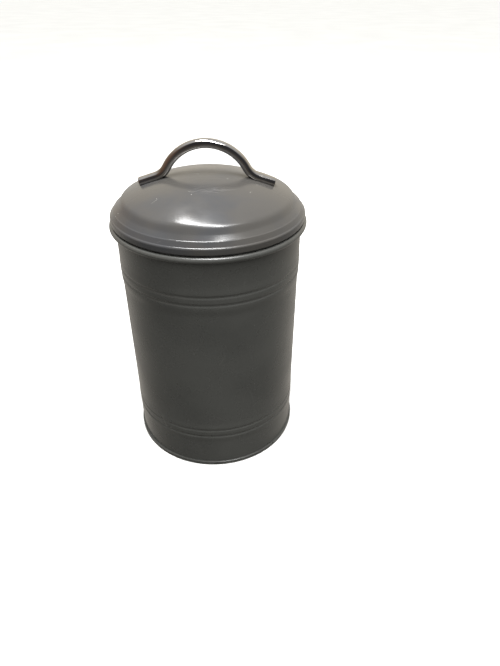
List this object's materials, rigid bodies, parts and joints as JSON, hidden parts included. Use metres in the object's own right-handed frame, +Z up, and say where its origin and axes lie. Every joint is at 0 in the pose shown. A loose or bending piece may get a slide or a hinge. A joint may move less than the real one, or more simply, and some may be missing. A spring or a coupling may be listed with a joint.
{
  "type": "pet food bin",
  "caption": "Small round steel pet food bin with a rolled rim, grooved wall, lift-off domed lid and chrome bow handle.",
  "frame": {"origin": "on the bin's axis, at the surface it stands on", "axes": "+Z up along the bin's axis, X along the handle, +Y towards the lap seam at the back"},
  "size_m": [0.114, 0.114, 0.196],
  "materials": {
    "grey_coat_body": "satin grey powder coat",
    "grey_coat_lid": "semi-gloss grey powder coat",
    "chrome_handle": "polished",
    "black_seal": "matt",
    "bright_fastener": "zinc plated"
  },
  "bodies": {
    "bin": {"body_wall": "grey_coat_body", "base_plate": "grey_coat_body"},
    "lid": {"lid_shell": "grey_coat_lid", "lid_plug_ring": "grey_coat_lid", "seal_ring": "black_seal", "handle": "chrome_handle", "handle_screw_left": "bright_fastener", "handle_screw_right": "bright_fastener", "handle_washer_left": "bright_fastener", "handle_washer_right": "bright_fastener"}
  },
  "joints": [
    {"name": "lid_lift", "type": "slide", "parent": "bin", "child": "lid", "axis": [0, 0, 1], "range_m": [0, 0.12]}
  ]
}
